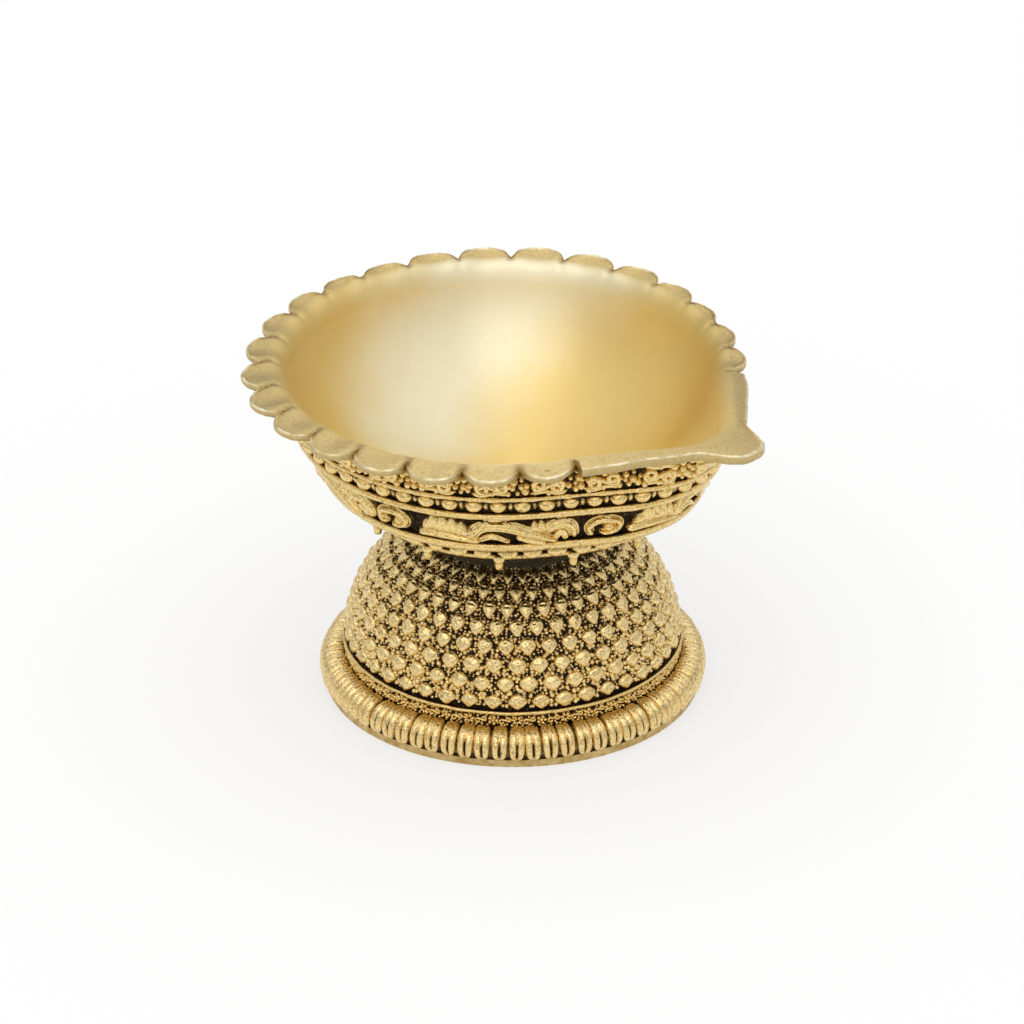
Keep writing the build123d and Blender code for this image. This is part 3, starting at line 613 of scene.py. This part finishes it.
def filigree():
    """Band under the rim: florets of round grains, and between them S-scrolls with spiral ends, small leaves and
    loose grains. Every second scroll is turned round."""
    count, row = 26, 50.9
    floret = (np.arange(count) * 2 + 0.5) / (2 * count)
    scroll = (np.arange(count) * 2 + 1.5) / (2 * count)
    length = run_along(row)[-1]
    petals = np.arange(6) * np.pi / 3 + 0.3
    spots = np.concatenate([[(0, 0.1)], np.stack([1.15 * np.cos(petals), 0.1 + 1.15 * np.sin(petals)], 1),
                            [(-2.3, 1.7), (2.2, 1.9), (0.1, 2.4), (-2.0, -1.2), (2.1, -1.25), (-1.2, 2.2), (1.3, 2.3),
                             (4.4, 1.5), (4.4, -1.3), (-1.9, 0.3), (1.95, 0.4)]])
    spots = spots + rng.uniform(-0.22, 0.22, (count, len(spots), 2))
    shares = (floret[:, None] + spots[..., 0] / length).ravel()
    rows = (row + spots[..., 1]).ravel()
    sizes = rng.uniform(0.65, 1.15, (len(shares), 1, 1))
    u, v, w, relief = knob(0.66, 0.66, 1.0)
    grains = patch(on_wall(shares, rows, u * sizes, v * sizes, w * sizes - 0.1), ANTIQUE, relief, ring=True)
    piece("filigree_grains", ["rim_florets"], [grains])
    right = spiral((1.3, 0.45), -np.pi / 2, 1.35, 1.05, 0.25)[::-1]
    left = spiral((-1.3, -0.15), np.pi / 2, 1.35, 1.05, 0.25)
    path = smooth(np.concatenate([right, left])[::3], 60)
    leaf = smooth([(-3.0, 1.5), (-1.0, 2.1), (0.8, 1.9), (2.8, 2.5)], 16)
    stem = smooth([(-3.1, -1.2), (-1.4, -1.5), (0.6, -1.0), (2.9, -1.4)], 16)
    curls = []
    for places, way in ((scroll[::2], 1), (scroll[1::2], -1)):
        for line, half, height, taper in ((path, 0.46, 0.95, 0.05), (leaf, 0.55, 0.85, 0.2), (stem, 0.4, 0.65, 0.2)):
            line = line[::way] * (way, 1)
            curls.append(raised(on_wall, places, row, stroke(line, half, height, taper=taper)))
    piece("filigree_scrolls", ["rim_scrolls"], curls)


def bead_row():
    """Row of oval beads, with small dull pads between them."""
    count, row = 58, 47.225
    shares = (np.arange(count) + 0.22) / count
    sizes = rng.uniform(0.95, 1.05, (count, 1, 1))
    u, v, w, relief = knob(1.42, 1.06, 1.2, around=14, rings=(1, 0.93, 0.75, 0.5, 0.25, 0))
    beads = patch(on_wall(shares, row, u * sizes, v * sizes, w * sizes - 0.1), ANTIQUE, relief, ring=True)
    u, v, w, relief = knob(0.42, 0.75, 0.5, pinch=4)
    pads = patch(on_wall(shares + 0.5 / count, row - 0.1, u, v, w - 0.08), ANTIQUE, 0.25 * relief, ring=True)
    piece("bead_row", ["oval_beads"], [beads, pads])


def scroll_band():
    """Wide band, six times round the bowl: an arched volute with a small leaf under it and a long tail, a humped
    leaf, a round volute with its boss and a toothed leaf. Volutes are raised strokes along smooth paths; leaves
    are slabs whose upper edge is a wave of teeth."""
    count, row = 6, 41.95
    centre = (np.arange(count) * 4 + 1.40) / 24
    strokes = [
        ([(-3.3, -1.6), (-2.8, 0.0), (-1.6, 1.1), (0.4, 1.45), (2.8, 1.1), (5.4, 0.1), (8.0, -0.9), (10.2, -1.9)],
         [0.8, 1.15, 1.3, 1.3, 1.0, 0.5], 1.8, 1.0),
        ([(3.4, -0.6), (5.6, -1.35), (8.2, -2.05)], [0.5, 0.75, 0.45], 1.4, 0.0),
        ([(-2.3, -1.5), (-0.1, -0.75), (2.7, -1.7)], [0.45, 0.65, 0.35], 1.3, 0.6),
        ([(7.9, -0.3), (9.0, 0.95), (10.6, 1.35), (12.0, 0.5), (12.5, -1.5)], [0.7, 1.2, 1.3, 1.15, 0.8], 1.7, 1.0),
        ([(9.2, -1.4), (10.4, -0.3), (11.3, -1.6)], [0.6, 0.8, 0.6], 1.3, 0.0)]
    volutes = []
    for points, widths, height, groove in strokes:
        path = smooth(points, 8 * len(points)) * (1, 1.15) - (0, 0.1)
        half = np.interp(np.linspace(0, 1, len(path)), np.linspace(0, 1, len(widths)), widths)
        volutes.append(raised(on_wall, centre, row, stroke(path, half, height, 17, 0.12, groove)))
    ring = spiral((0, 0), math.radians(238), -1.0, 1.0, 0.62, 46) * (2.75, 1.75) + (17.2, 0.05)
    half = np.interp(np.linspace(0, 1, 46), [0, 0.4, 1], [0.75, 1.0, 0.45])
    volutes.append(raised(on_wall, centre, row, stroke(ring, half, 1.75, 17, 0.08, 1.0)))
    boss = knob(1.1, 0.95, 1.6, around=12, rings=(1, 0.85, 0.55, 0.25, 0))
    volutes.append(raised(on_wall, centre + 17.8 / run_along(row)[-1], row - 0.3, boss, ring=True))
    piece("scroll_volutes_worked", ["scroll_volutes"], volutes)

    leaves = []
    for begin, end, low, high, teeth, bite in (
            (21.6, 30.6, [-0.9, -1.4, -2.2], [0.3, 2.2, 2.1, 1.9, 1.0, -1.2], 6, 1.0),
            (20.8, 30.8, [-2.2, -2.3, -2.4], [-0.9, -0.4, -0.7, -1.1, -1.6], 1, 0.0),
            (4.6, 9.2, [-0.3, -0.8], [0.9, 1.9, 2.0, 1.4], 4, 1.0)):
        t = np.linspace(0, 1, 60)
        saw = np.abs((t * teeth) % 1 - 0.35) / 0.65
        low, high = (np.interp(t, np.linspace(0, 1, len(x)), x) for x in (low, high))
        high = high + bite * (0.5 - saw) * np.sin(np.pi * t) ** 0.4
        work = slab(begin + (end - begin) * t, low, high, 1.45, groove=0.9)
        leaves.append(raised(on_wall, centre, row, work))
    piece("acanthus_worked", ["acanthus_leaves"], leaves)


def collar():
    """Collar under the band: oblong beads along the wire, and stepped pegs that hang from it."""
    count, row = 42, 35.2
    shares = (np.arange(count) - 0.03) / count
    u, v, w, relief = knob(1.75, 0.62, 1.1, around=12, rings=(1, 0.9, 0.6, 0.3, 0), pinch=3)
    grow = rng.uniform(0.75, 1.05, (count, 1, 1))
    beads = patch(on_wall(shares, row, u * grow, v, w - 0.05), ANTIQUE, relief, ring=True)
    share = np.linspace(0, 1, 300, endpoint=False)
    around = np.linspace(0, 2 * np.pi, 9)[:, None]
    wire_row, wire_radius, wire_out = 34.9, 0.42, 0.5
    core = on_wall(0.0, wire_row, share * run_along(wire_row)[-1], wire_radius * np.sin(around),
                   wire_out + wire_radius * np.cos(around))
    piece("collar_beads", ["collar_wire"],
          [beads, patch(core, WIRE, 0.35 + 0.3 * np.cos(around), ring=True)])
    peg_count = 14
    pegs = (np.arange(peg_count) + 0.21) / peg_count
    heads = on_wall(pegs, 35.0, 0.0, 0.0, 0.75)[:, 0, 0]
    a = np.linspace(0, 2 * np.pi, 12, endpoint=False)
    profile = np.array([(0, 0.75), (0.55, 0.7), (0.95, 0.3), (0.95, -0.35), (0.72, -0.6), (0.68, -1.1), (0.62, -1.75),
                        (0.35, -1.95), (0, -1.98)])[:, None]
    shape = np.stack(np.broadcast_arrays(profile[..., 0] * np.cos(a), profile[..., 0] * np.sin(a),
                                         profile[..., 1] + 0 * a), -1)
    piece("hanging_pegs", ["collar_pegs"],
          [patch(heads[:, None, None] + shape, ANTIQUE, 0.75, ring=True)], flip=True)


def stud_rows():
    """Rows of studs on the dome: rounded kites with dents below, rounder drops with a groove and a tail higher
    up. The ground between them is filled with grains, strewn evenly and left out where a stud stands."""
    dented_rows, dent_depth, grain_step = 5, 0.16, 0.7
    step = RISE_STEP * DOME_RADIUS
    for row in range(STUD_ROWS):
        rise = FIRST_RISE + RISE_STEP * row
        turns = (np.arange(STUDS) + row % 2 / 2) * 2 * np.pi / STUDS
        reach = DOME_X + DOME_RADIUS * np.cos(rise)
        pitch = 2 * np.pi * reach / STUDS
        high = row / (STUD_ROWS - 1)
        half_u, half_v = pitch * (0.43 - 0.02 * high), 1.32
        rings = (1, 0.95, 0.85, 0.72, 0.6, 0.48, 0.36, 0.24, 0.12, 0)
        u, v, w, relief = knob(half_u, half_v, 1.15 - 0.3 * high, 16, rings, pinch=1.5 + 0.35 * high,
                               tail=0.12 + 0.35 * high, power=0.42)
        if row < dented_rows:
            spots = rng.uniform(0, 2 * np.pi, (STUDS, 1, 1)) + np.array([0, 2.0, 4.2])[:, None, None, None]
            away = (u - 0.4 * half_u * np.cos(spots)) ** 2 + (v - 0.4 * half_v * np.sin(spots)) ** 2
            dent = np.exp(-away / 0.07).sum(0)
        else:
            dent = np.exp(-((v - rng.uniform(0.05, 0.35, (STUDS, 1, 1))) / 0.13) ** 2) * (relief > 0.5)
        sizes = rng.uniform(0.93, 1.06, (STUDS, 1, 1))
        shift = rng.uniform(-0.06, 0.06, (2, STUDS))
        points = on_dome(turns + shift[0] / reach, rise + shift[1] / DOME_RADIUS, u * sizes, v * sizes,
                         (w - dent_depth * dent) * sizes - 0.08)
        studs = patch(points, FOOT, relief - 0.65 * dent, ring=True)

        across = int(2 * np.pi * reach / grain_step)
        grain_turn, up = np.meshgrid(np.arange(across) / across * 2 * np.pi, np.linspace(-0.42, 0.42, 6) * step)
        grain_turn = grain_turn + rng.uniform(-0.22, 0.22, up.shape) / reach
        up = up + rng.uniform(-0.2, 0.2, up.shape)
        free = up > (-1.05 if row == 0 else -step)
        for beside, over in ((0, 0), (0.5, step), (0.5, -step)):
            off = ((grain_turn - turns[0]) * STUDS / (2 * np.pi) + beside + 0.5) % 1 - 0.5
            free &= np.abs(off * pitch / half_u) ** 1.6 + np.abs((up - over) / half_v) ** 1.6 > 0.95
        grain_turn, up = grain_turn[free], up[free]
        spread = rng.uniform(0.5, 1.5 - 0.55 * high, (len(up), 1, 1))
        u, v, w, relief = knob(0.35, 0.35, 0.55, around=6, rings=(1, 0.7, 0))
        points = on_dome(grain_turn, rise + up / DOME_RADIUS, u * spread, v * spread, w * spread - 0.1)
        grains = patch(points, FOOT, rng.uniform(0.3, 1.0 - 0.35 * high, (len(up), 1, 1)) * relief, ring=True)
        piece(f"studs_{row + 1}", [f"stud_row_{row + 1}"], [studs, grains])


def foot_band():
    """Fine wire at the foot of the dome, and the recess below it with stars, curls and grains."""
    turn = np.linspace(0, 2 * np.pi, 360, endpoint=False)
    around = np.linspace(0, 2 * np.pi, 9)[:, None]
    thick = 0.27 * (1 + lumps(turn, 21, 0.2))
    height = thick * np.sin(around) + lumps(turn, 22, 0.1)
    wire = on_skirt(0.0, 7.95, turn * SKIRT, height, 0.42 + thick * np.cos(around))
    piece("foot_wire_worked", ["foot_wire"],
          [patch(wire, WIRE, 0.8 + 0.4 * np.cos(around), ring=True)])
    count, row = 44, 6.5
    turns = np.arange(count) * 2 * np.pi / count
    stars, flowers, between = turns[::2], turns[1::2], turns + np.pi / count
    work = []
    for a in np.arange(7) * 2 * np.pi / 7 + 0.2:
        ray = np.linspace((0.15 * np.cos(a), 0.15 * np.sin(a)), (1.05 * np.cos(a), 0.95 * np.sin(a)), 6)
        work.append(raised(on_skirt, stars, row, stroke(ray, 0.2, 0.55, across=5, taper=0.3)))
    petals = np.arange(5) * 2 * np.pi / 5
    spots = np.concatenate([[(0, 0)], np.stack([0.58 * np.cos(petals), 0.58 * np.sin(petals)], 1)])
    flower_turn = (flowers[:, None] + spots[:, 0] / SKIRT).ravel()
    flower_row = np.tile(row + spots[:, 1], len(flowers))
    work.append(raised(on_skirt, flower_turn, flower_row, knob(0.36, 0.36, 0.6, 6, (1, 0.7, 0)), ring=True))
    curl = smooth(np.concatenate([spiral((0.45, 0.25), -1.5, 0.9, 0.46, 0.15, 12)[::-1],
                                  spiral((-0.45, -0.2), 1.6, 0.9, 0.46, 0.15, 12)])[::2], 30)
    work.append(raised(on_skirt, between, row, stroke(curl, 0.18, 0.5, across=5, taper=0.05)))
    for height, dots, size in ((5.6, 190, 0.32), (5.95, 130, 0.26), (7.15, 150, 0.24), (7.5, 170, 0.22)):
        places = np.arange(dots) * 2 * np.pi / dots + rng.uniform(-0.008, 0.008, dots)
        work.append(raised(on_skirt, places, height + rng.uniform(-0.12, 0.12, dots),
                           knob(size, size, 0.42, 6, (1, 0.7, 0)), ring=True))
    piece("foot_band_work", ["foot_florets"], work)


def foot_ring():
    """Foot ring: hairpin loops laid over the round core from the skirt to the base. Each is a broad pillow across,
    with a rounded end below; downwards a slit parts it into two strands, which meet again just above that end."""
    turns = (np.arange(LOOPS) + 0.38) * 2 * np.pi / LOOPS
    top, low = math.radians(116), math.radians(-42)
    v = np.linspace(top, low, 30)[:, None]
    low_round, top_round, proud = 1.15, 0.5, 0.95
    far = np.clip((v - low) * RING_RADIUS / low_round, 0, 1)
    near = np.clip((top - v) * RING_RADIUS / top_round, 0, 1)
    ends = np.sqrt(far * (2 - far)) * np.sqrt(near * (2 - near))
    q = np.linspace(-1, 1, 27)
    u = np.interp(v, np.radians([-42, 0, 40, 116]), [1.05, 1.26, 1.36, 1.34]) * ends * q
    slit = np.interp(v, np.radians([-42, -31, -25, 20, 55, 116]), [0, 0, 1.0, 0.9, 0.35, 0.1])
    dark = slit * np.exp(-(u / 0.2) ** 2)
    arch = np.sqrt(1 - q ** 4) - 0.7 * dark
    w = proud * np.maximum(ends, 0.2) * arch
    tilt = rng.uniform(-0.05, 0.05, (LOOPS, 1, 1))
    sizes = rng.uniform(0.9, 1.04, (LOOPS, 1, 1))
    points = on_ring(turns, u + tilt * (v - low) * RING_RADIUS, v + 0 * u, w * sizes - 0.06)
    relief = arch - 0.6 * dark
    piece("hairpin_loops", ["foot_ring_loops"], [patch(points, FOOT, relief)])


scalloped_rim()
bowl_cup()
wall_wire("upper_wire_worked", "upper_wire", 48.75, 0.38, 31, 0.3)
wall_wire("middle_wire_worked", "middle_wire", 45.55, 0.54, 32)
wall_wire("lower_wire_worked", "lower_wire", 38.9, 0.6, 33)
filigree()
bead_row()
scroll_band()
collar()
stud_rows()
foot_band()
foot_ring()

# The CAD nodes whose shape is right keep it and get their finish
for node, material in (("neck_collar", DULL), ("foot_shell", GROUND), ("foot_ring_core", CORE),
                       ("base_plate", EDGE), ("fixing_screw", TURNED), ("fixing_washer", TURNED)):
    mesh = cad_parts[node].data
    mesh.materials.clear()
    mesh.materials.append(material)


def studio():
    """Pale floor, a soft sky and one broad lamp, and the camera at the photograph's angle. The floor is partly plain
    white to the camera, so that its shadow stays faint."""
    floor_mesh = bpy.data.meshes.new("floor")
    corner = 6.0
    floor_mesh.from_pydata([(-corner, -corner, 0), (corner, -corner, 0), (corner, corner, 0), (-corner, corner, 0)],
                           [], [(0, 1, 2, 3)])
    floor = bpy.data.objects.new("floor", floor_mesh)
    bpy.context.scene.collection.objects.link(floor)
    material, tree, shader, _ = finish("pale_floor")
    shader.inputs["Base Color"].default_value = srgb("#FEFEFE")
    shader.inputs["Roughness"].default_value = 0.9
    white_share = 0.6
    camera_ray, glossy_ray, passing_ray = (
        add(tree, "LightPath", out=ray) for ray in ("Is Camera Ray", "Is Glossy Ray", "Is Transmission Ray"))
    seen = add(tree, "Math", {0: camera_ray, 1: glossy_ray}, operation="ADD")
    seen = add(tree, "Math", {0: seen, 1: passing_ray}, operation="ADD", use_clamp=True)
    share = add(tree, "Math", {0: seen, 1: white_share}, operation="MULTIPLY")
    white = add(tree, "Emission", {"Color": srgb("#FEFEFE"), "Strength": 1.0})
    both = add(tree, "MixShader", {0: share, 1: shader.outputs["BSDF"], 2: white})
    tree.links.new(both, tree.nodes["Material Output"].inputs["Surface"])
    floor_mesh.materials.append(material)

    world = bpy.data.worlds.new("studio")
    bpy.context.scene.world = world
    world.use_nodes = True
    tree = world.node_tree
    back = tree.nodes["Background"]
    up = add(tree, "SeparateXYZ", {"Vector": add(tree, "TexCoord", out="Generated")}, "Z")
    sky = add(tree, "ValToRGB", {"Fac": up}, stops=((0.0, 0.34), (0.35, 0.56), (0.7, 0.87), (1.0, 1.04)))
    tree.links.new(sky, back.inputs["Color"])
    back.inputs["Strength"].default_value = 1.14

    lamp = bpy.data.lights.new("soft_lamp", "SUN")
    lamp.energy = 0.38
    lamp.angle = math.radians(55)
    sun = bpy.data.objects.new("soft_lamp", lamp)
    sun.rotation_euler = (math.radians(40), 0, math.radians(22))
    bpy.context.scene.collection.objects.link(sun)

    azimuth, elevation, distance = math.radians(39.4), math.radians(27.68), 0.9
    aim_left, aim_height, sensor, focal_share = 0.00013, 0.02923, 36.0, 5690 / 1024
    lens = bpy.data.cameras.new("camera")
    lens.sensor_width, lens.lens = sensor, focal_share * sensor
    lens.clip_start, lens.clip_end = 0.01, 50
    camera = bpy.data.objects.new("camera", lens)
    back_way = np.array([math.sin(azimuth) * math.cos(elevation), -math.cos(azimuth) * math.cos(elevation),
                         math.sin(elevation)])
    target = np.array([-aim_left * math.cos(azimuth), -aim_left * math.sin(azimuth), aim_height])
    camera.location = target + back_way * distance
    camera.rotation_euler = (math.pi / 2 - elevation, 0, azimuth)
    bpy.context.scene.collection.objects.link(camera)
    bpy.context.scene.camera = camera
    bpy.context.scene.view_settings.view_transform = "Standard"


studio()
